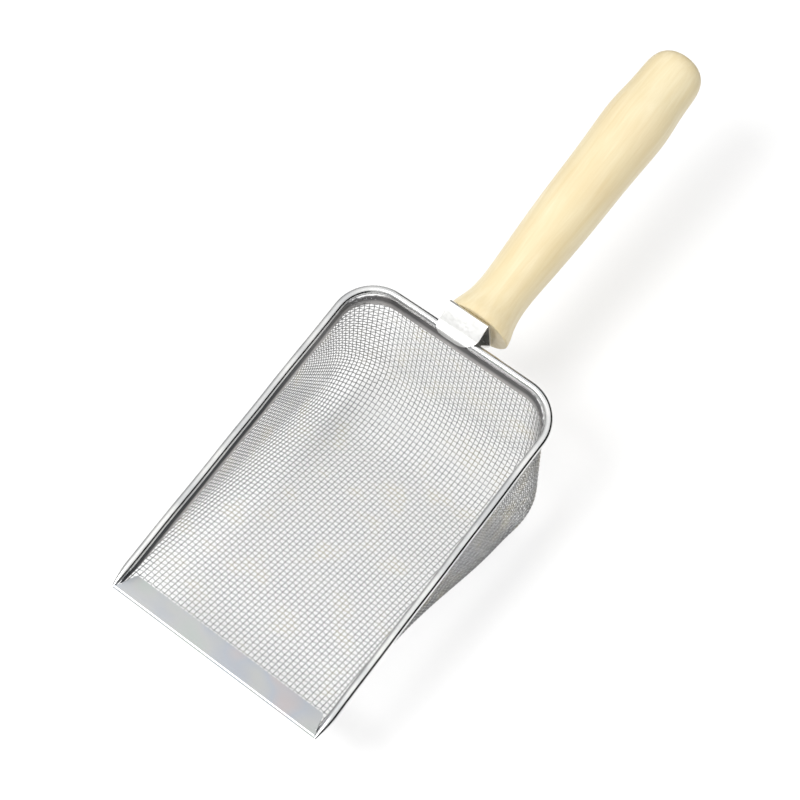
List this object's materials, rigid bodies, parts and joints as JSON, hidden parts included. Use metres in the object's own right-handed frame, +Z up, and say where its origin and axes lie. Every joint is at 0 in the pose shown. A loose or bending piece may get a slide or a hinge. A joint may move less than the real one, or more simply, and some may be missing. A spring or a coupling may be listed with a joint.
{
  "type": "beach sand scoop",
  "caption": "Rigid hand scoop for sifting sand: woven wire bowl with a folded front lip, a rolled metal rim and a turned wooden handle on a bent strip bracket.",
  "frame": {"origin": "middle of the whole tool's footprint, on the floor under the flat of the bowl", "axes": "+Y from the lip toward the handle's tip, +Z up, +X across the bowl; the bowl leans a few millimetres toward +X at its deepest"},
  "size_m": [0.1134, 0.3354, 0.1002],
  "materials": {
    "rim_sheet": "gloss",
    "band_sheet": "satin",
    "mesh_wire": "satin",
    "lip_sheet": "satin",
    "bracket_sheet": "satin",
    "screw_steel": "satin",
    "handle_wood": "satin"
  },
  "bodies": {
    "root": {"rim_bead": "rim_sheet", "inner_band": "band_sheet", "mesh_basket": "mesh_wire", "front_lip": "lip_sheet", "handle_bracket": "bracket_sheet", "handle_screw": "screw_steel", "handle": "handle_wood"}
  },
  "joints": []
}
